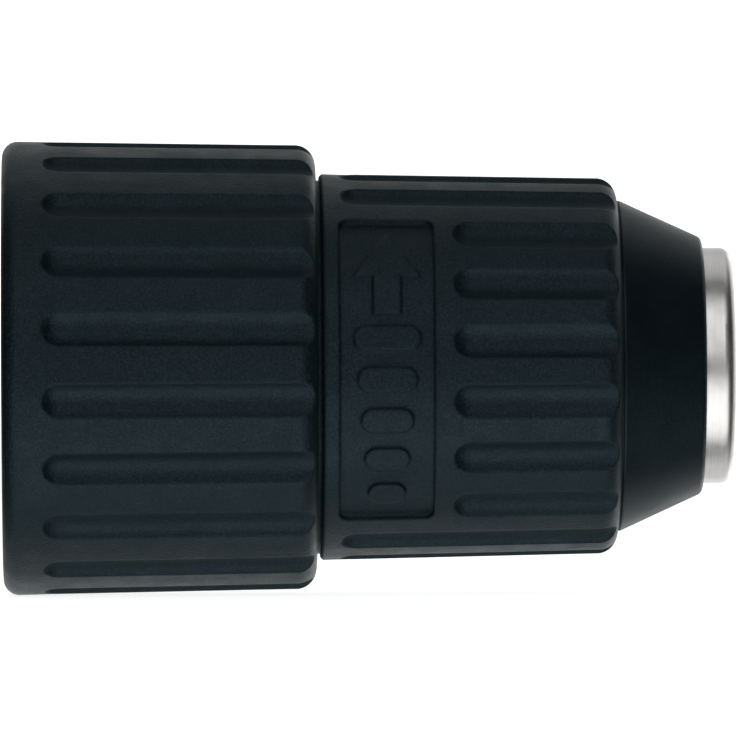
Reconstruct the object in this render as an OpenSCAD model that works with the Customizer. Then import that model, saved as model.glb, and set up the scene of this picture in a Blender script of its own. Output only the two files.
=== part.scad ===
// Keyless drill chuck with two sleeves.
// The chuck's axis is +X. The origin is at the mouth of the spindle thread, in the rear face.
// Profiles are lists of [position along the axis, radius].

/* [Rear sleeve] */
// Length of the rear sleeve
rear_len = 29.6; // [26:0.1:36]
// Largest diameter of the rear sleeve, at its rear end
rear_d = 43; // [42:0.1:52]
// Draft of the rear sleeve's outside, in degrees
rear_draft = 0.95; // [0:0.05:2]
// Rounding of the rear sleeve's rear corner
rear_corner = 1.5; // [0.5:0.1:2.5]
// Rounding of the rear sleeve's front corner
rear_front_corner = 1.9; // [0.5:0.1:2.5]
// Thickness of the rear sleeve's shell over the lands
rear_wall = 2.2; // [1.6:0.1:3]
// Thickness of the rear sleeve's end wall
rear_web = 2.2; // [1.5:0.1:4]
// Number of ribs between the rear sleeve's hub and shell
rib_count = 10; // [4:1:16]

/* [Front sleeve] */
// Length of the front grip sleeve
front_len = 28.1; // [27:0.1:36]
// Diameter of the front grip sleeve at its rear end
front_d = 36.6; // [36:0.1:38]
// Draft of the front sleeve's outside, in degrees
front_draft = 1.1; // [0:0.05:2]
// Rounding of the front sleeve's front corner
front_corner = 1.9; // [0.5:0.1:2.2]
// Gap between the two sleeves
sleeve_gap = 0.4; // [0.2:0.05:1]
// How far the front sleeve's spigot runs back inside the rear sleeve
spigot_len = 5.8; // [5.8:0.1:9]
// Running clearance between the spigot and the rear sleeve's lip
spigot_clearance = 0.35; // [0.2:0.05:0.6]

/* [Grip] */
// Number of grip grooves round each sleeve
groove_count = 20; // [12:2:24]
// Width of a grip groove
groove_w = 3.3; // [2:0.1:4]
// Depth of a grip groove
groove_depth = 0.8; // [0.4:0.05:1]
// Plain length behind the rear sleeve's grooves
rear_groove_inset = 3.8; // [2:0.1:8]
// Plain length behind the front sleeve's long grooves
long_groove_inset = 1.8; // [1:0.1:4]
// Plain length behind the front sleeve's short grooves
short_groove_inset = 12.3; // [11.5:0.1:15]
// Turn of the rear sleeve's grooves about the axis, in degrees
rear_groove_turn = 8.3; // [0:0.1:18]
// Turn of the front sleeve's grooves about the axis, in degrees
front_groove_turn = 10.5; // [0:0.1:18]

/* [Recessed panels] */
// Length of a recessed panel along the axis
panel_len = 8.9; // [6:0.1:9.5]
// Plain length behind the panels
panel_inset = 1.6; // [1:0.1:3]
// Angle that a panel spans, in degrees
panel_span = 101.5; // [80:0.5:104]
// Depth of the panels
panel_depth = 0.5; // [0.2:0.05:0.7]
// Corner radius of the panels
panel_corner = 1; // [0.4:0.1:2]
// Height of the raised direction marks above the panel floor
mark_height = 0.4; // [0.1:0.05:0.5]
// Number of raised bars behind the direction arrow
bar_count = 5; // [2:1:6]
// Plain angle at each end of a panel's marks, in degrees
mark_margin = 6; // [3:1:12]

/* [Nose] */
// Length of the nose cone in front of the grip sleeve
cone_len = 8.1; // [7:0.1:14]
// Diameter of the nose cone at its rear end
cone_d = 31.3; // [30.5:0.1:32]
// Diameter of the nose cone at its front end
cone_front_d = 24.2; // [23.4:0.1:26]
// Length of the steel nose in front of the cone
nose_len = 2.8; // [2:0.1:6]
// Diameter of the steel nose
nose_d = 22.3; // [21.5:0.1:23]
// Rounding of the steel nose's edge
nose_corner = 1.1; // [0.3:0.1:1.3]
// Rounding of the cone's front edge
cone_corner = 0.7; // [0.3:0.1:0.8]

/* [Jaws] */
// Largest tool shank
grip_max = 13; // [10:0.5:13]
// Smallest tool shank
grip_min = 1.5; // [1:0.1:3]
// How far the open jaws stand back from the largest shank
open_slack = 0.1; // [0.05:0.05:0.3]
// Diameter of a jaw
jaw_d = 6.4; // [5.4:0.1:6.6]
// Angle between a jaw and the chuck's axis, in degrees
jaw_angle = 14; // [13.5:0.1:15]
// Distance from the chuck's axis to a jaw's axis, in the plane of the nose
jaw_nose_r = 4.9; // [4.5:0.1:5.1]
// Radial clearance between a jaw and its bore
jaw_clearance = 0.05; // [0.01:0.01:0.1]
// Width of a jaw's gripping land
grip_land = 2; // [1:0.1:2.2]
// Depth of the open jaws' tips behind the nose
tip_recess = 1.2; // [0.5:0.1:4]
// Pitch of the jaw thread, along a jaw
jaw_pitch = 1.6; // [1:0.1:2]
// Depth of the jaw teeth
tooth_depth = 0.6; // [0.3:0.05:0.8]
// Length of closed jaw that stays in the nut
jaw_engagement = 3.5; // [2:0.1:5]

/* [Nut and thrust bearing] */
// Length of the split nut
nut_len = 6; // [5:0.1:8]
// How far the nut reaches in front of the grip sleeve, inside the cone
nut_reach = 2.4; // [1.5:0.1:3]
// Thickness of the steel shell round the nut
nut_shell_t = 0.85; // [0.5:0.05:1]
// Gap between the two halves of the nut
nut_split = 0.2; // [0.1:0.05:0.5]
// Radial gap between the nut's crests and the jaw teeth
thread_clearance = 0.15; // [0.1:0.05:0.4]
// Number of bearing balls
ball_count = 32; // [20:1:34]
// Diameter of a bearing ball
ball_d = 1.6; // [1.2:0.05:1.95]
// Play of the balls between the races, on each side
ball_play = 0.03; // [0.01:0.01:0.1]
// Thickness of a bearing race
race_t = 1; // [0.6:0.1:2]
// Thickness of the ball cage
cage_t = 0.8; // [0.5:0.1:1.2]

/* [Spindle] */
// Minor diameter of the spindle thread
spindle_d = 11.46; // [9:0.01:13.8]
// Depth of the spindle thread
spindle_depth = 16; // [12:0.5:19]
// Diameter of the through-hole for the spindle's screw
screw_hole_d = 6.5; // [5:0.1:8]
// Length of the wall between the spindle thread and the tool bore
wall_len = 4; // [3:0.1:8]
// Diameter of the tool bore behind the jaws
tool_bore_d = 13.2; // [13.2:0.1:13.8]

/* [Ratchet lock] */
// Number of ratchet teeth
ratchet_teeth = 36; // [24:1:48]
// Outer radius of the ratchet ring
ratchet_r = 13.3; // [13:0.1:13.5]
// Depth of the ratchet teeth
ratchet_depth = 0.7; // [0.4:0.05:0.9]
// Width of the ratchet ring
ratchet_w = 3; // [2:0.1:3.4]
// Diameter of the pawl's pin
pin_d = 1; // [0.8:0.05:1.2]
// Angle between the lifted and the locked pawl, in degrees
pawl_lift = 3.4; // [2:0.1:4]
// Angle from the pawl's pin to its tooth, seen along the axis, in degrees
pawl_reach = 55; // [40:1:70]

/* [Hidden] */
$fn = 96;

// Small amounts
over = 1;            // how far a cut runs past the face that it opens
run_fit = 0.1;       // radial running clearance between turning parts
side_fit = 0.15;     // clearance beside a retained ring
seat_fit = 0.05;     // clearance between fixed parts that slip together
root_fit = 0.1;      // axial clearance between the nut and the body's slot
blend_angle = 4;     // angle at which a rounding meets the surface beside it
edge_break = 0.25;   // chamfer of the front grip's rear edge
mouth_chamfer = 0.6; // chamfer of the tool bore's mouth
lead_in = 0.4;       // chamfer of the spindle thread's mouth
drive_step = 1.1;    // step between the body's hub and its rear seat

// Positions along the axis
front_x = rear_len + sleeve_gap;
grip_end = front_x + front_len;
cone_end = grip_end + cone_len;
chuck_len = cone_end + nose_len;
nut_front = grip_end + nut_reach;
nut_rear = nut_front - nut_len;
nut_taper = 1.5;
nut_shell_end = grip_end - 1.1;
balls_x = nut_rear - race_t - ball_play - ball_d / 2;
shoulder_x = balls_x - ball_d / 2 - ball_play - race_t;
tool_bore_x = spindle_depth + wall_len;
spigot_x = front_x - spigot_len;
core_x = shoulder_x - 4.3;

// A jaw's axis and outer edge, as radii at a place along the chuck's axis
function jaw_axis_r(x) = jaw_nose_r + tan(jaw_angle) * (chuck_len - x);
function jaw_edge_r(x) = jaw_axis_r(x) + jaw_d / 2 / cos(jaw_angle);

// Jaw length and travel; tail_s is the tail's distance behind the nose plane, along the jaw
open_r = grip_max / 2 + open_slack;
jaw_travel = (open_r - grip_min / 2) / sin(jaw_angle);
tip_x = chuck_len - tip_recess;
jaw_len = (tip_x - nut_front) / cos(jaw_angle) + jaw_travel + jaw_engagement;
tail_s = (chuck_len - tip_x) / cos(jaw_angle) + jaw_len;
tail_x = chuck_len - tail_s * cos(jaw_angle);
tail_chamfer = 1.1;
tail_inset = 0.55;
tail_r = jaw_axis_r(tail_x) + (jaw_d / 2 - tail_inset) * cos(jaw_angle);

// Radii, from the jaws outwards
seat_r = jaw_edge_r(shoulder_x) + 0.12;
race_r0 = seat_r + run_fit;
core_r = front_d / 2 - 2.1;
core_in_r = core_r - 0.7;
race_r1 = core_in_r - 2 * run_fit;
nut_r = core_in_r - seat_fit - nut_shell_t;
barrel_r = core_in_r - 0.4;
barrel_x = tail_x - 0.9;
cavity_r = tail_r + 0.4;
spigot_r = cavity_r + 1;
hub_r = ratchet_r - 1.9;
seat_hub_r = hub_r + drive_step;
nut_lip_r = nut_r - 1.4;
ball_circle_r = (race_r0 + race_r1) / 2;

// Nose fittings
nose_r = nose_d / 2;
cone_step = 0.8;
cone_start = grip_end + 0.35;
cone_slope = atan((cone_d - cone_front_d) / 2 / (cone_end - cone_start));
seal_x = nut_front + 0.6;
seal_w = 1.1;
seal_r = nose_r + 1.4;
snap_x = seal_x + seal_w + 0.75;
snap_w = 0.8;
snap_r = nose_r + 0.55;
snap_groove_r = nose_r - 0.65;
snap_opening = 2.4;

// Rear sleeve and its seat
shell_in_r = rear_d / 2 - rear_wall;
hub_ring_r = seat_hub_r + 1.8;
hub_ring_len = 14;
shelf_t = 1.8;
shelf_r = hub_ring_r + 1.6;
rib_t = 1.6;
rib_lap = 0.4;
lip_len = 2;
circlip_t = 1;
circlip_groove_r = seat_hub_r - 1.2;
circlip_play = 0.1;

// Grooves are cut by a round-ended tool of this radius
cutter_r = (pow(groove_w / 2, 2) + pow(groove_depth, 2)) / (2 * groove_depth);

// Ratchet and pawl; the locked pawl's tooth stands in a gap of the ratchet
ratchet_x = spigot_x + 0.8;
ratchet_root_r = ratchet_r - ratchet_depth;
pin_turn = 90;
pin_r = cavity_r - 1.3;
pin_x = ratchet_x - 0.4;
eye_r = 1.1;
flange_t = 1.2;
flange_x = front_x - 0.6 - flange_t;
flange_in_r = ratchet_r + 0.6;
spring_t = 0.25;

plastic = [0.12, 0.14, 0.16];
hard_plastic = [0.05, 0.06, 0.07];
steel = [0.78, 0.78, 0.77];
hardened = [0.5, 0.5, 0.52];

// ---- Helpers ----

// Turns a flat drawing so that it stands across the chuck's axis, from x0 to x1
module extrude_x(x0, x1) {
    translate([x0, 0, 0]) rotate([90, 0, 90]) linear_extrude(x1 - x0) children();
}

// Revolves a flat drawing of [radius, position] about the chuck's axis
module revolve_x(angle = 360) {
    rotate([90, 0, 90]) rotate_extrude(angle = angle) children();
}

// Flat drawing from a list of [position, radius] points
module profile(points) {
    polygon([for (p = points) [p[1], p[0]]]);
}

// Flat rectangle between two positions and two radii
module band(x0, x1, r0, r1) {
    translate([r0, x0]) square([r1 - r0, x1 - x0]);
}

// What a rounding takes off an outer corner. The rounding's centre is at the position x, where the
// drafted surface has the radius surface_r. toward is 1 for a corner that faces forward, else -1.
// The rounding meets the surface at a small angle, blend_angle, and not exactly tangent to it.
module corner_waste(x, surface_r, radius, draft, toward) {
    centre = [surface_r - radius / cos(draft) + radius * (1 - cos(blend_angle)), x];
    normal = [cos(draft), sin(draft)];
    touch = centre + radius * normal;
    end_x = x + toward * (radius + over);
    difference() {
        polygon([centre, touch, touch + over * normal, [surface_r + 2 * over, end_x], [centre[0], end_x]]);
        translate(centre) circle(radius);
    }
}

// Solid ring
module ring(x0, x1, r0, r1) {
    revolve_x() band(x0, x1, r0, r1);
}

// Places its children at a turn about the axis; they are drawn on the +Z side
module turned(angle) {
    rotate([angle - 90, 0, 0]) children();
}

// Round-ended rod along +Z
module round_ended_rod(r, len) {
    rotate_extrude() {
        square([r, len]);
        intersection() {
            circle(r);
            translate([0, -r]) square([r, r]);
        }
    }
}

// ---- Sleeves ----

function rear_surface(x) = rear_d / 2 - tan(rear_draft) * x;
function front_surface(x) = front_d / 2 - tan(front_draft) * (x - front_x);
function cone_surface(x) = cone_d / 2 - tan(cone_slope) * (x - cone_start);

// One groove cutter that starts at x on a surface of radius r and follows the draft
module groove_cutter(x, r, draft, len) {
    translate([x, 0, r + cutter_r - groove_depth])
        rotate([0, 90 + draft, 0]) round_ended_rod(cutter_r, len);
}

module rear_shell_profile() {
    back = rear_corner;
    fore = rear_len - rear_front_corner;
    difference() {
        profile([[0, shell_in_r], [0, rear_surface(0)], [rear_len, rear_surface(rear_len)],
            [rear_len, shell_in_r]]);
        corner_waste(back, rear_surface(back), rear_corner, rear_draft, -1);
        corner_waste(fore, rear_surface(fore), rear_front_corner, rear_draft, 1);
    }
}

module rear_ribs() {
    rib_len = hub_ring_len - rear_web - 2;
    for (i = [0:rib_count - 1]) rotate([i * 360 / rib_count, 0, 0])
        translate([rear_web - rib_lap / 2, -rib_t / 2, hub_ring_r - rib_lap])
            cube([rib_len + rib_lap / 2, rib_t, shell_in_r - hub_ring_r + 2 * rib_lap]);
}

module rear_sleeve() {
    color(plastic) difference() {
        union() {
            revolve_x() {
                rear_shell_profile();
                band(0, rear_web, hub_ring_r, shell_in_r);
                band(rear_web, rear_web + shelf_t, seat_hub_r, shelf_r);
                band(rear_web, hub_ring_len, seat_hub_r, hub_ring_r);
                band(rear_len - lip_len, rear_len, spigot_r + spigot_clearance, shell_in_r);
            }
            rear_ribs();
        }
        for (i = [0:groove_count - 1]) turned(rear_groove_turn + i * 360 / groove_count) {
            start = rear_groove_inset + groove_w / 2;
            groove_cutter(start, rear_surface(start), rear_draft, rear_len);
        }
    }
}

// Layer between two depths under the front sleeve's surface, along the panels
module panel_layer(depth_in, depth_out) {
    x0 = front_x + panel_inset;
    x1 = x0 + panel_len;
    revolve_x() profile([[x0, front_surface(x0) - depth_in], [x0, front_surface(x0) - depth_out],
        [x1, front_surface(x1) - depth_out], [x1, front_surface(x1) - depth_in]]);
}

// Wedge-shaped block that spans an angle about the +Z side, between two positions
module sector(x0, x1, span) {
    rotate([90 - span / 2, 0, 0]) revolve_x(span) band(x0, x1, front_d / 4, front_d);
}

module panel_recess() {
    x0 = front_x + panel_inset;
    x1 = x0 + panel_len;
    corner_turn = asin(panel_corner / (front_d / 2));
    intersection() {
        panel_layer(panel_depth, -over);
        union() {
            sector(x0 + panel_corner, x1 - panel_corner, panel_span);
            sector(x0 - over, x1 + over, panel_span - 2 * corner_turn);
            for (x = [x0 + panel_corner, x1 - panel_corner], side = [-1, 1])
                rotate([side * (panel_span / 2 - corner_turn), 0, 0])
                    translate([x, 0, front_d / 4]) cylinder(r = panel_corner, h = front_d / 2, $fn = 48);
        }
    }
}

// Places a flat mark at a turn from the panel's middle: x runs along the axis, y towards tightening
module mark_place(turn) {
    rotate([-turn, 0, 0])
        translate([front_x + panel_inset + panel_len / 2, 0, front_d / 4])
            linear_extrude(front_d / 2) children();
}

module arrow_flat(len, half_w) {
    head_len = len * 0.55;
    shaft_w = half_w * 0.84;
    polygon([[-half_w, len / 2 - head_len], [0, len / 2], [half_w, len / 2 - head_len]]);
    translate([-shaft_w / 2, -len / 2]) square([shaft_w, len - head_len + 0.1]);
}

module bar_flat(len, width) {
    straight = len - width;
    translate([-straight / 2, -width / 2]) square([straight, width]);
    for (side = [-1, 1]) translate([side * straight / 2, 0]) circle(d = width, $fn = 32);
}

// Raised marks of one panel: an arrow towards tightening, with shrinking bars behind it
module panel_marks() {
    mm_per_degree = front_d / 2 * PI / 180;
    marks_span = panel_span - 2 * mark_margin;
    arrow_span = marks_span * 0.3;
    step = (marks_span - arrow_span) / bar_count;
    mark_w = panel_len - 2.6;
    intersection() {
        panel_layer(panel_depth + 0.1, panel_depth - mark_height);
        union() {
            mark_place((marks_span - arrow_span) / 2) arrow_flat(arrow_span * mm_per_degree, mark_w / 2);
            for (i = [0:bar_count - 1])
                mark_place(marks_span / 2 - arrow_span - (i + 0.62) * step)
                    bar_flat(mark_w * (1 - 0.11 * i), step * 0.58 * mm_per_degree);
        }
    }
}

module front_grip_profile() {
    fore = grip_end - front_corner;
    difference() {
        profile([[front_x, spigot_r - 0.4], [front_x, front_surface(front_x) - edge_break],
            [front_x + edge_break, front_surface(front_x + edge_break)],
            [grip_end, front_surface(grip_end)],
            [grip_end, cone_d / 2 + seat_fit], [grip_end - cone_step, cone_d / 2 + seat_fit],
            [grip_end - cone_step, core_r], [core_x, core_r], [core_x, cavity_r], [front_x, cavity_r]]);
        corner_waste(fore, front_surface(fore), front_corner, front_draft, 1);
    }
}

module front_sleeve() {
    panel_mid = front_groove_turn - 9;
    short_reach = panel_span / 2 - 1;
    color(plastic) {
        difference() {
            revolve_x() {
                front_grip_profile();
                band(spigot_x, front_x + over, cavity_r, spigot_r);
                band(flange_x, flange_x + flange_t, flange_in_r, cavity_r + 0.2);
            }
            for (i = [0:groove_count - 1]) {
                turn = front_groove_turn + i * 360 / groove_count;
                away = abs((turn - panel_mid + 90) % 180 - 90);
                inset = away < short_reach ? short_groove_inset : long_groove_inset;
                start = front_x + groove_w / 2 + inset;
                turned(turn) groove_cutter(start, front_surface(start), front_draft, front_len);
            }
            for (side = [0, 180]) turned(panel_mid + side) panel_recess();
            pawl_pin_place() cylinder(d = pin_d, h = front_x, $fn = 32);
        }
        for (side = [0, 180]) turned(panel_mid + side) panel_marks();
    }
}

// The hard core under the front grip: it carries the nose cone and drives the nut
module nose_sleeve() {
    front_lip_r = nose_r + run_fit;
    corner_x = cone_end - cone_corner;
    color(hard_plastic) difference() {
        revolve_x() difference() {
            profile([[core_x, core_in_r], [core_x, core_r], [grip_end - cone_step, core_r],
                [grip_end - cone_step, cone_d / 2], [cone_start, cone_d / 2],
                [cone_end, cone_front_d / 2], [cone_end, front_lip_r], [nut_front, front_lip_r],
                [nut_front, nut_lip_r], [nut_front - nut_taper, nut_r + seat_fit],
                [nut_shell_end, nut_r + seat_fit], [nut_shell_end, core_in_r]]);
            band(grip_end + 0.02, grip_end + 0.2, cone_d / 2 - 0.15, cone_d);
            band(seal_x, seal_x + seal_w, 0, seal_r);
            band(snap_x - side_fit, snap_x + snap_w + side_fit, 0, snap_r + side_fit);
            corner_waste(corner_x, cone_surface(corner_x), cone_corner, cone_slope, 1);
        }
        drive_dogs(seat_fit);
    }
}

// ---- Nose fittings ----

module nose_seal() {
    color([0.3, 0.28, 0.25]) ring(seal_x, seal_x + seal_w, nose_r + 0.06, seal_r);
}

module nose_retaining_ring() {
    color(hardened) extrude_x(snap_x, snap_x + snap_w) difference() {
        circle(snap_r);
        circle(snap_groove_r + seat_fit);
        translate([0, -snap_opening / 2]) square([snap_r + over, snap_opening]);
    }
}

// ---- Body ----

// A jaw's axis: its children are drawn along +Z, forwards, with the origin in the nose plane
module on_jaw_axis() {
    translate([chuck_len, 0, jaw_nose_r]) rotate([0, 90 + jaw_angle, 0]) children();
}

module jaw_bores() {
    bore_r = jaw_d / 2 + jaw_clearance;
    back = tail_s + 0.6;
    for (i = [0:2]) rotate([i * 120, 0, 0]) on_jaw_axis()
        translate([0, 0, -back]) cylinder(r = bore_r, h = back + 4);
}

module body_profile() {
    nose_back = nut_front + root_fit;
    slot_back = nut_rear - root_fit;
    rear_step_r = seat_hub_r - 0.6;
    difference() {
        profile([[0, 0], [0, rear_step_r - 0.5], [0.5, rear_step_r], [rear_web, rear_step_r],
            [rear_web, seat_hub_r], [hub_ring_len + 0.5, seat_hub_r],
            [hub_ring_len + 0.5 + drive_step, hub_r],
            [barrel_x, hub_r], [barrel_x, barrel_r - 1.2], [barrel_x + 1.2, barrel_r],
            [shoulder_x, barrel_r], [shoulder_x, seat_r], [slot_back, seat_r],
            [slot_back, jaw_edge_r(nut_rear) - tooth_depth],
            [nose_back, jaw_edge_r(nose_back) - tooth_depth], [nose_back, nose_r],
            [chuck_len, nose_r], [chuck_len, 0]]);
        corner_waste(chuck_len - nose_corner, nose_r, nose_corner, 0, 1);
        band(rear_web - circlip_t - circlip_play, rear_web, circlip_groove_r, seat_hub_r);
        band(snap_x - seat_fit, snap_x + snap_w + seat_fit, snap_groove_r, nose_r + over);
        band(-over, spindle_depth, 0, spindle_d / 2);
        band(0, chuck_len, 0, screw_hole_d / 2);
        band(tool_bore_x, chuck_len + over, 0, tool_bore_d / 2);
        profile([[-over, 0], [-over, spindle_d / 2 + over + lead_in], [lead_in, spindle_d / 2],
            [lead_in, 0]]);
        profile([[chuck_len + over, 0], [chuck_len + over, tool_bore_d / 2 + over + mouth_chamfer],
            [chuck_len - mouth_chamfer, tool_bore_d / 2], [chuck_len - mouth_chamfer, 0]]);
    }
}

module chuck_body() {
    color(steel) difference() {
        revolve_x() body_profile();
        jaw_bores();
    }
}

// ---- Jaws ----

// Wedge that each jaw fills, so that three closed jaws meet without touching
module jaw_wedge() {
    rise = jaw_edge_r(tail_x);
    extrude_x(tail_x - jaw_d, tip_x) polygon([[-grip_land / 2, open_r], [grip_land / 2, open_r],
        [grip_land / 2 + rise * tan(60), open_r + rise],
        [-grip_land / 2 - rise * tan(60), open_r + rise]]);
}

// Teeth along a jaw's outer side; shift moves them along the jaw
module jaw_tooth_gaps(shift) {
    first = tail_s - jaw_pitch * 0.3 - shift;
    count = floor((jaw_travel + jaw_engagement + nut_len) / jaw_pitch) - 1;
    half = jaw_pitch * 0.4;
    for (i = [0:count - 1]) on_jaw_axis()
        translate([-jaw_d / 2, 0, -first + i * jaw_pitch]) rotate([90, 0, 0])
            linear_extrude(jaw_d + over, center = true)
                polygon([[-over, -half * 1.2], [-over, half * 1.2], [tooth_depth, half * 0.35],
                    [tooth_depth, -half * 0.35]]);
}

module jaw(index) {
    r = jaw_d / 2;
    color(hardened) rotate([index * 120, 0, 0]) difference() {
        intersection() {
            on_jaw_axis() translate([0, 0, -tail_s]) rotate_extrude()
                polygon([[0, 0], [r - tail_inset, 0], [r, tail_chamfer], [r, tail_s], [0, tail_s]]);
            jaw_wedge();
        }
        jaw_tooth_gaps(index * jaw_pitch / 3);
    }
}

module jaw_1() { jaw(0); }
module jaw_2() { jaw(1); }
module jaw_3() { jaw(2); }

// ---- Nut and thrust bearing ----

module nut_profile() {
    pitch_x = jaw_pitch * cos(jaw_angle);
    count = floor(nut_len / pitch_x);
    difference() {
        profile([[nut_rear, jaw_edge_r(nut_rear) + thread_clearance], [nut_rear, nut_r],
            [nut_front - nut_taper, nut_r], [nut_front, nut_lip_r - seat_fit],
            [nut_front, jaw_edge_r(nut_front) + thread_clearance]]);
        for (i = [0:count - 1]) {
            x = nut_rear + (i + 0.5) * pitch_x;
            r = jaw_edge_r(x) + thread_clearance;
            profile([[x - pitch_x * 0.42, r - 0.2], [x - pitch_x * 0.15, r + tooth_depth],
                [x + pitch_x * 0.15, r + tooth_depth], [x + pitch_x * 0.42, r - 0.2]]);
        }
    }
}

module nut_half(side) {
    split_turn = asin(nut_split / 2 / jaw_edge_r(nut_front));
    color(hardened) rotate([side * 180 + split_turn, 0, 0]) revolve_x(180 - 2 * split_turn) nut_profile();
}

module nut_half_a() { nut_half(0); }
module nut_half_b() { nut_half(1); }

// Dogs that key the nut's shell into the core; grow is added all round for their slots
module drive_dogs(grow) {
    for (i = [0:2]) rotate([i * 120 + 40, 0, 0]) intersection() {
        ring(nut_rear - grow, nut_rear + 1.4 + grow, core_in_r - 0.4, core_in_r + 0.35 + grow);
        translate([nut_rear - over, -2 - grow, 0]) cube([4, 4 + 2 * grow, core_r]);
    }
}

module nut_shell() {
    color(hardened) {
        ring(nut_rear, nut_shell_end, nut_r, core_in_r - seat_fit);
        drive_dogs(0);
    }
}

module thrust_race_front() {
    color(steel) ring(nut_rear - race_t, nut_rear, race_r0, race_r1);
}

module thrust_race_rear() {
    color(steel) ring(shoulder_x, shoulder_x + race_t, race_r0, race_r1);
}

module ball_cage() {
    color([0.75, 0.6, 0.3]) difference() {
        ring(balls_x - cage_t / 2, balls_x + cage_t / 2, race_r0 + seat_fit, race_r1 - seat_fit);
        for (i = [0:ball_count - 1]) rotate([i * 360 / ball_count, 0, 0])
            translate([balls_x - ball_d, 0, ball_circle_r]) rotate([0, 90, 0])
                cylinder(d = ball_d + 0.1, h = 2 * ball_d, $fn = 32);
    }
}

module bearing_balls() {
    color(steel) for (i = [0:ball_count - 1]) rotate([i * 360 / ball_count, 0, 0])
        translate([balls_x, 0, ball_circle_r]) sphere(d = ball_d, $fn = 24);
}

// ---- Ratchet lock ----

module rear_circlip() {
    outer_r = hub_ring_r - 0.35;
    opening = 6.4;
    eye_r = 1.15;
    eye_place = [outer_r - 1.6, opening / 2 + 0.4];
    color(hardened) extrude_x(rear_web - circlip_t, rear_web) difference() {
        union() {
            difference() {
                circle(seat_hub_r + 0.75);
                circle(circlip_groove_r + seat_fit);
                translate([0, -opening / 2]) square([outer_r + over, opening]);
            }
            for (side = [-1, 1]) intersection() {
                translate([eye_place[0], side * eye_place[1]]) circle(eye_r, $fn = 32);
                circle(outer_r);
            }
        }
        for (side = [-1, 1]) translate([eye_place[0], side * eye_place[1]]) circle(0.5, $fn = 24);
    }
}

module ratchet_ring() {
    step = 360 / ratchet_teeth;
    color(hardened) extrude_x(ratchet_x, ratchet_x + ratchet_w) difference() {
        polygon([for (i = [0:ratchet_teeth - 1], p = [[0, ratchet_root_r], [0.06, ratchet_r]])
            p[1] * [cos((i + p[0]) * step), sin((i + p[0]) * step)]]);
        circle(hub_r);
    }
}

module pawl_pin_place() {
    rotate([pin_turn, 0, 0]) translate([pin_x, pin_r, 0]) rotate([0, 90, 0]) children();
}

module pawl_pin() {
    color(steel) pawl_pin_place() cylinder(d = pin_d, h = flange_x + flange_t - pin_x, $fn = 32);
}

// The pawl in its locked place, drawn with its pin on the +X side
module locked_pawl_flat() {
    arm_out_r = pin_r + 0.25;
    arm_in_r = pin_r - 0.95;
    difference() {
        union() {
            translate([pin_r, 0]) circle(eye_r, $fn = 48);
            intersection() {
                difference() {
                    circle(arm_out_r);
                    circle(arm_in_r);
                }
                polygon([[0, 0], [2 * pin_r, 0], [2 * pin_r, pin_r],
                    2 * pin_r * [cos(pawl_reach), sin(pawl_reach)]]);
            }
            rotate(pawl_reach) polygon([[pin_r, 0], [ratchet_root_r + 0.35, 0],
                [ratchet_root_r + 0.7, -1], [arm_in_r + seat_fit, -1.8], [pin_r, -2]]);
        }
        translate([pin_r, 0]) circle(d = pin_d + run_fit, $fn = 32);
    }
}

module lock_pawl() {
    color(hardened) rotate([pin_turn, 0, 0]) extrude_x(ratchet_x, ratchet_x + ratchet_w)
        translate([pin_r, 0]) rotate(-pawl_lift) translate([-pin_r, 0]) locked_pawl_flat();
}

// Leaf spring that lies against the spigot's inside, over the pawl
module pawl_spring() {
    inset = 0.5;
    color(steel) rotate([pin_turn + 20, 0, 0])
        revolve_x(60) band(ratchet_x + inset, ratchet_x + ratchet_w - inset, cavity_r - spring_t, cavity_r);
}

chuck_body();
jaw_1();
jaw_2();
jaw_3();
nut_half_a();
nut_half_b();
nut_shell();
thrust_race_front();
thrust_race_rear();
ball_cage();
bearing_balls();
front_sleeve();
nose_sleeve();
nose_retaining_ring();
nose_seal();
rear_sleeve();
rear_circlip();
ratchet_ring();
lock_pawl();
pawl_pin();
pawl_spring();
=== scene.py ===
"""Looks of the keyless drill chuck: its camera, its studio and the material of every piece."""

import math

import bpy
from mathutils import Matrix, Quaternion, Vector


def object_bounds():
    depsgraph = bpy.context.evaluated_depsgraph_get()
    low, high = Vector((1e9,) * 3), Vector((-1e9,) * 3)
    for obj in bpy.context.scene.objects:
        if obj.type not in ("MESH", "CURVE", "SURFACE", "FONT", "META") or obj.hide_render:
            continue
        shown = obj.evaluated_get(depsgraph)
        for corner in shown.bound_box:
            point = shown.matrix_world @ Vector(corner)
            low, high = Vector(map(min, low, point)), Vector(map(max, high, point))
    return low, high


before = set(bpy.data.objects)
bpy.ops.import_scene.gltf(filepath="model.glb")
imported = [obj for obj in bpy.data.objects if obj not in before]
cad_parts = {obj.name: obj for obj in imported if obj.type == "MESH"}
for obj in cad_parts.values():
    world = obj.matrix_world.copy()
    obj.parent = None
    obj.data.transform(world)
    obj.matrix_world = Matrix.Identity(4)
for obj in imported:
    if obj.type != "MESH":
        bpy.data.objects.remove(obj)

cad_low, cad_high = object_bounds()
centre = (cad_low + cad_high) / 2
MM = 0.001


# ---- Camera ----

def make_camera():
    """A long lens, level with the chuck's axis, a little towards its rear end."""
    data = bpy.data.cameras.new("camera")
    data.lens = 578
    data.sensor_width = 36
    data.clip_start, data.clip_end = 0.05, 20
    camera = bpy.data.objects.new("camera", data)
    bpy.context.scene.collection.objects.link(camera)
    camera.location = centre + Vector((-23.8, -1120, 0)) * MM
    look_at = centre + Vector((0.1, 0, -0.11)) * MM
    roll = Quaternion((0, 0, 1), math.radians(-0.25))
    camera.rotation_mode = "QUATERNION"
    camera.rotation_quaternion = (look_at - camera.location).to_track_quat("-Z", "Y") @ roll
    bpy.context.scene.camera = camera


# ---- Node helpers ----

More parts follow.
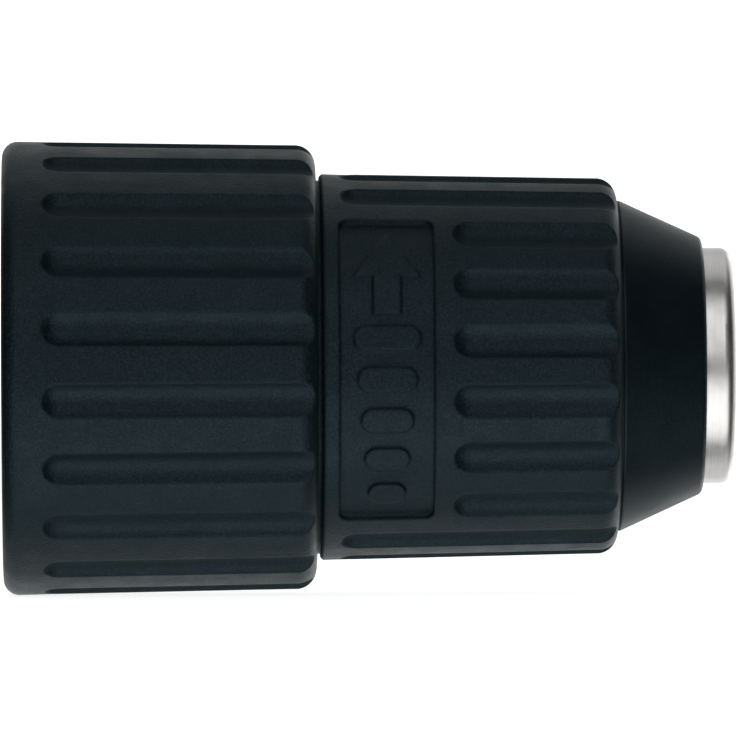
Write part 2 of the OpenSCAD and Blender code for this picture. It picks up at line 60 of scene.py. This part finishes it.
class Nodes:
    """Short calls for building a node tree."""

    def __init__(self, tree):
        self.tree = tree

    def feed(self, socket, value):
        """Links a socket, or sets its value."""
        if isinstance(value, bpy.types.NodeSocket):
            self.tree.links.new(value, socket)
        else:
            socket.default_value = value

    def node(self, kind, **inputs):
        """A new node; its inputs are named with _ for a space."""
        made = self.tree.nodes.new(kind)
        for socket, value in inputs.items():
            self.feed(made.inputs[socket.replace("_", " ")], value)
        return made

    def math(self, operation, *values):
        made = self.node("ShaderNodeMath")
        made.operation = operation
        for socket, value in zip(made.inputs, values):
            self.feed(socket, value)
        return made.outputs[0]

    def dot(self, first, second):
        made = self.node("ShaderNodeVectorMath")
        made.operation = "DOT_PRODUCT"
        self.feed(made.inputs[0], first)
        self.feed(made.inputs[1], second)
        return made.outputs["Value"]


class Shader(Nodes):
    """A material's node tree, with calls for what the materials share."""

    def __init__(self, name, colour, metallic, roughness, **sockets):
        self.material = bpy.data.materials.new(name)
        self.material.use_nodes = True
        super().__init__(self.material.node_tree)
        self.bsdf = self.tree.nodes["Principled BSDF"]
        self.bsdf.inputs["Base Color"].default_value = (*colour, 1)
        self.bsdf.inputs["Metallic"].default_value = metallic
        self.bsdf.inputs["Roughness"].default_value = roughness
        for socket, value in sockets.items():
            self.bsdf.inputs[socket.replace("_", " ")].default_value = value
        self.place = self.node("ShaderNodeTexCoord").outputs["Object"]
        self.normal = None

    def noise(self, size, detail=2.0, stretch=(1, 1, 1), roughness=0.5):
        """Noise whose grains are size metres across, longer along an axis where stretch is over 1."""
        mapping = self.node("ShaderNodeMapping", Vector=self.place)
        mapping.inputs["Scale"].default_value = [1 / s for s in stretch]
        made = self.node("ShaderNodeTexNoise", Vector=mapping.outputs[0], Scale=1 / size,
                         Detail=detail, Roughness=roughness)
        return made.outputs["Fac"]

    def ramp(self, value, low, high, out_low=0.0, out_high=1.0):
        """Maps low to high onto out_low to out_high."""
        made = self.node("ShaderNodeMapRange", Value=value, From_Min=low, From_Max=high,
                         To_Min=out_low, To_Max=out_high)
        return made.outputs[0]

    def bevel(self, radius):
        """The normal that the surface would have with rounded edges."""
        made = self.node("ShaderNodeBevel", Radius=radius)
        made.samples = 6
        return made.outputs[0]

    def edges(self, radius):
        """1 along the sharp edges of the shape and 0 away from them."""
        true_normal = self.node("ShaderNodeNewGeometry").outputs["Normal"]
        return self.ramp(self.dot(self.bevel(radius), true_normal), 0.995, 0.9)

    def round_edges(self, radius):
        """Starts the normal from rounded edges; bumps come on top of it."""
        self.normal = self.bevel(radius)

    def painted_rim_sheen(self, colour):
        """Painted rim sheen: a faint colour painted into the base colour where the surface turns away
        from the eye.
        """
        facing = self.node("ShaderNodeLayerWeight", Blend=0.3).outputs["Facing"]
        self.tint(facing, colour)

    def bump(self, height, depth):
        made = self.node("ShaderNodeBump", Height=height, Distance=depth, Strength=1.0)
        if self.normal is not None:
            self.feed(made.inputs["Normal"], self.normal)
        self.normal = made.outputs[0]

    def tint(self, factor, colour):
        """Mixes a colour over the base colour where factor is 1."""
        mix = self.node("ShaderNodeMix")
        mix.data_type = "RGBA"
        base = self.bsdf.inputs["Base Color"]
        self.feed(mix.inputs["Factor"], factor)
        before = base.links[0].from_socket if base.links else tuple(base.default_value)
        self.feed(mix.inputs["A"], before)
        self.feed(mix.inputs["B"], (*colour, 1))
        self.feed(base, mix.outputs["Result"])

    def finish(self, *nodes):
        """Connects the normal and gives the material to the CAD nodes."""
        if self.normal is not None:
            self.feed(self.bsdf.inputs["Normal"], self.normal)
        for name in nodes:
            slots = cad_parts[name].data.materials
            for i in range(len(slots)):
                slots[i] = self.material


# ---- Materials ----

def grip_plastic():
    """Moulded plastic with a fine spark-eroded grain and soft edges."""
    s = Shader("grip_plastic", (0.001, 0.0025, 0.004), 0, 0.44,
               Specular_IOR_Level=0.34, Specular_Tint=(0.56, 0.86, 1, 1))
    grain = s.noise(0.22 * MM, detail=3, roughness=0.65)
    mottle = s.noise(2.6 * MM, detail=4)
    s.round_edges(0.45 * MM)
    s.bump(s.noise(1.1 * MM, detail=2), 0.02 * MM)
    s.bump(grain, 0.07 * MM)
    s.feed(s.bsdf.inputs["Roughness"], s.ramp(mottle, 0.3, 0.7, 0.38, 0.5))
    s.tint(s.ramp(grain, 0.42, 0.66), (0.012, 0.02, 0.025))
    # Painted rim sheen: a greenish colour painted where the grip turns away from the eye.
    s.painted_rim_sheen((0.008, 0.023, 0.024))
    s.finish("front_sleeve", "rear_sleeve")


def cone_plastic():
    """Smoother, darker plastic of the hard core and its nose cone."""
    s = Shader("cone_plastic", (0.002, 0.005, 0.0085), 0, 0.4,
               Specular_IOR_Level=0.36, Specular_Tint=(0.62, 0.9, 1, 1))
    grain = s.noise(0.25 * MM, detail=2)
    s.round_edges(0.2 * MM)
    s.bump(grain, 0.02 * MM)
    s.feed(s.bsdf.inputs["Roughness"], s.ramp(s.noise(3 * MM, detail=4), 0.3, 0.7, 0.36, 0.45))
    s.tint(s.ramp(grain, 0.45, 0.7), (0.005, 0.01, 0.013))
    # Painted rim sheen: a faint greenish colour painted where the cone turns away from the eye.
    s.painted_rim_sheen((0.004, 0.012, 0.013))
    s.finish("nose_sleeve")


def turned_steel(name, nodes, colour, roughness):
    """Steel with fine turning marks round the chuck's axis."""
    s = Shader(name, colour, 1, roughness)
    rings = s.noise(0.12 * MM, detail=3, stretch=(1, 400, 400))
    s.round_edges(0.12 * MM)
    s.bump(rings, 0.0015 * MM)
    wear = s.noise(1.5 * MM, detail=5)
    s.feed(s.bsdf.inputs["Roughness"], s.ramp(wear, 0.3, 0.7, roughness - 0.03, roughness + 0.05))
    s.tint(s.ramp(wear, 0.6, 0.8), [0.92 * c for c in colour])
    s.tint(s.ramp(rings, 0.5, 0.8), [0.8 * c for c in colour])
    s.finish(*nodes)


def ground_steel(name, nodes, colour, roughness):
    """Hardened steel, ground, with fine scratches along the chuck."""
    s = Shader(name, colour, 1, roughness)
    scratches = s.noise(0.08 * MM, detail=3, stretch=(30, 1, 1))
    s.round_edges(0.1 * MM)
    s.bump(scratches, 0.002 * MM)
    s.feed(s.bsdf.inputs["Roughness"], s.ramp(scratches, 0.3, 0.7, roughness - 0.08, roughness + 0.1))
    s.tint(s.edges(0.12 * MM), [min(1, 1.7 * c) for c in colour])
    s.finish(*nodes)


def polished_steel():
    """Bright bearing steel under a thin film of oil."""
    s = Shader("bearing_steel", (0.75, 0.75, 0.76), 1, 0.12)
    film = s.noise(0.6 * MM, detail=4)
    s.feed(s.bsdf.inputs["Roughness"], s.ramp(film, 0.35, 0.7, 0.08, 0.25))
    s.bump(film, 0.0005 * MM)
    s.finish("thrust_race_front", "thrust_race_rear", "bearing_balls", "pawl_pin")


def pressed_brass():
    """Pressed sheet brass with tarnish in patches."""
    s = Shader("cage_brass", (0.7, 0.5, 0.22), 1, 0.3)
    tarnish = s.noise(1.2 * MM, detail=5)
    s.round_edges(0.1 * MM)
    s.bump(s.noise(0.1 * MM, detail=2), 0.002 * MM)
    s.feed(s.bsdf.inputs["Roughness"], s.ramp(tarnish, 0.3, 0.7, 0.25, 0.45))
    s.tint(s.ramp(tarnish, 0.5, 0.75), (0.42, 0.28, 0.12))
    s.finish("ball_cage")


def black_oxide():
    """Spring steel with an oxide film that is worn off along the edges."""
    s = Shader("spring_steel", (0.03, 0.03, 0.034), 0.9, 0.38)
    film = s.noise(0.5 * MM, detail=4)
    worn = s.math("MULTIPLY", s.edges(0.12 * MM), s.ramp(film, 0.35, 0.65))
    s.round_edges(0.1 * MM)
    s.bump(film, 0.003 * MM)
    s.tint(worn, (0.3, 0.3, 0.31))
    s.finish("rear_circlip", "nose_retaining_ring", "pawl_spring")


def felt():
    """Felt with loose fibres."""
    s = Shader("seal_felt", (0.2, 0.185, 0.16), 0, 0.95)
    fibres = s.noise(0.09 * MM, detail=5, roughness=0.7)
    s.bump(fibres, 0.08 * MM)
    s.tint(s.ramp(fibres, 0.4, 0.65), (0.38, 0.35, 0.31))
    s.finish("nose_seal")


# ---- Studio ----

def make_floor():
    """A plain pale floor with walls. The light tent lights the chuck, so only the camera sees them."""
    half, wall, gap = 2.4, 2.0, 0.02 * MM
    levels = (cad_low.z - gap, cad_low.z + wall)
    square = [(-half, -half), (half, -half), (half, half), (-half, half)]
    corners = [(x, y, z) for z in levels for x, y in square]
    walls = [(i, i + 4, (i + 1) % 4 + 4, (i + 1) % 4) for i in range(4)]
    data = bpy.data.meshes.new("floor")
    data.from_pydata(corners, [], [(0, 1, 2, 3), *walls])
    floor = bpy.data.objects.new("floor", data)
    bpy.context.scene.collection.objects.link(floor)
    floor.visible_diffuse = floor.visible_glossy = floor.visible_shadow = False
    s = Shader("floor", (0.8, 0.8, 0.8), 0, 0.9, Emission_Color=(1, 1, 1, 1), Emission_Strength=0.85)
    s.bump(s.noise(3 * MM, detail=2), 0.01 * MM)
    s.finish()
    data.materials.append(s.material)


class Tent(Nodes):
    """The light tent's brightness by direction: round the chuck's axis, and towards its ends."""

    side_fade = 0.3  # how much further to the side a panel takes to fade out

    def __init__(self):
        world = bpy.data.worlds.new("studio")
        bpy.context.scene.world = world
        world.use_nodes = True
        super().__init__(world.node_tree)
        self.direction = self.node("ShaderNodeTexCoord").outputs["Generated"]
        split = self.node("ShaderNodeSeparateXYZ", Vector=self.direction)
        forward = self.math("MULTIPLY", split.outputs["Y"], -1)
        self.height = self.math("ARCTAN2", split.outputs["Z"], forward)
        self.side = self.math("ABSOLUTE", split.outputs["X"])

    def fade(self, value, bright, dark):
        """1 up to the value bright, then down to 0 at dark."""
        made = self.node("ShaderNodeMapRange", Value=value, From_Min=dark, From_Max=bright,
                         To_Min=0, To_Max=1)
        made.interpolation_type = "SMOOTHSTEP"
        return made.outputs[0]

    def spot(self, direction, half, soft, strength):
        """A round soft light in a direction, half degrees wide to each side of it."""
        off = self.math("ARCCOSINE", self.dot(self.direction, Vector(direction).normalized()))
        inside = self.fade(off, math.radians(half), math.radians(half + soft))
        return self.math("MULTIPLY", inside, strength)

    def panel(self, angle, half, soft, side, strength):
        """A soft light round a height angle in degrees, 0 in front and 90 overhead.

        It is half degrees high to each side of that angle, and bright up to side, which is 0 across
        the chuck and 1 along its axis.
        """
        off = self.math("SUBTRACT", self.height, math.radians(angle))
        off = self.math("WRAP", off, math.pi, -math.pi)
        off = self.math("ABSOLUTE", off)
        inside = self.fade(off, math.radians(half), math.radians(half + soft))
        between = self.fade(self.side, side, side + self.side_fade)
        both = self.math("MULTIPLY", inside, between)
        return self.math("MULTIPLY", both, strength)

    def finish(self, base, *panels):
        """Adds the lights up over an even base."""
        total = base
        for panel in panels:
            total = self.math("ADD", panel, total)
        background = self.tree.nodes["Background"]
        self.tree.links.new(total, background.inputs["Strength"])
        background.inputs["Color"].default_value = (1, 1, 1, 1)


def make_tent():
    """Panels above and below in front, fainter ones behind, and a spot that rims the nose."""
    tent = Tent()
    dark = 0.02
    tent.finish(
        dark,
        tent.panel(38, 24, 12, 0.2, 1.05),
        tent.panel(-46, 25, 14, 0.42, 1.4),
        tent.panel(180, 14, 20, 0.3, 1),
        tent.panel(122, 20, 16, 0.35, 0.55),
        tent.panel(-130, 22, 14, 0.4, 0.65),
        tent.spot((1, 1, 0), 26, 12, 0.8),
    )


make_camera()
grip_plastic()
cone_plastic()
turned_steel("body_steel", ["chuck_body"], (0.82, 0.81, 0.79), 0.34)
ground_steel("jaw_steel", ["jaw_1", "jaw_2", "jaw_3"], (0.4, 0.4, 0.41), 0.3)
turned_steel("nut_steel", ["nut_half_a", "nut_half_b", "nut_shell"], (0.3, 0.3, 0.31), 0.36)
ground_steel("ratchet_steel", ["ratchet_ring", "lock_pawl"], (0.3, 0.3, 0.31), 0.35)
polished_steel()
pressed_brass()
black_oxide()
felt()
make_floor()
make_tent()
bpy.context.scene.view_settings.view_transform = "Standard"
